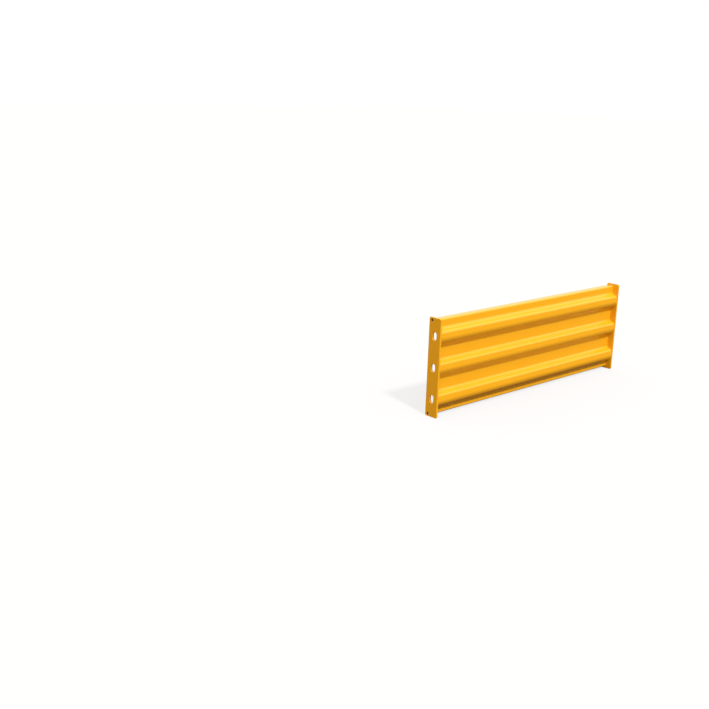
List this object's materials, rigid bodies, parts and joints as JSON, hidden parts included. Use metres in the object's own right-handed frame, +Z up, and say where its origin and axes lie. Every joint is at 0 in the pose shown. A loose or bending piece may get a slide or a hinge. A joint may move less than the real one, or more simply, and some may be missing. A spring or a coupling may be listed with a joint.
{
  "type": "guard rail panel",
  "caption": "Horizontal guard-rail panel: ribbed roll-formed steel sheet welded between two flat end plates with upright bolt slots, powder-coated yellow.",
  "frame": {"origin": "on the floor, in the middle of the panel's length and depth", "axes": "+X along the rail, +Y from the ribbed front to the open back, +Z up"},
  "size_m": [1.1176, 0.0572, 0.381],
  "materials": {
    "yellow_powder_coat": "smooth semi-gloss powder coat, safety yellow"
  },
  "bodies": {
    "root": {"rail_sheet": "yellow_powder_coat", "end_plate_left": "yellow_powder_coat", "end_plate_right": "yellow_powder_coat", "weld_left_top_flange": "yellow_powder_coat", "weld_left_rib_1": "yellow_powder_coat", "weld_left_web_1": "yellow_powder_coat", "weld_left_rib_2": "yellow_powder_coat", "weld_left_web_2": "yellow_powder_coat", "weld_left_rib_3": "yellow_powder_coat", "weld_left_bottom_flange": "yellow_powder_coat", "weld_right_top_flange": "yellow_powder_coat", "weld_right_rib_1": "yellow_powder_coat", "weld_right_web_1": "yellow_powder_coat", "weld_right_rib_2": "yellow_powder_coat", "weld_right_web_2": "yellow_powder_coat", "weld_right_rib_3": "yellow_powder_coat", "weld_right_bottom_flange": "yellow_powder_coat"}
  },
  "joints": []
}
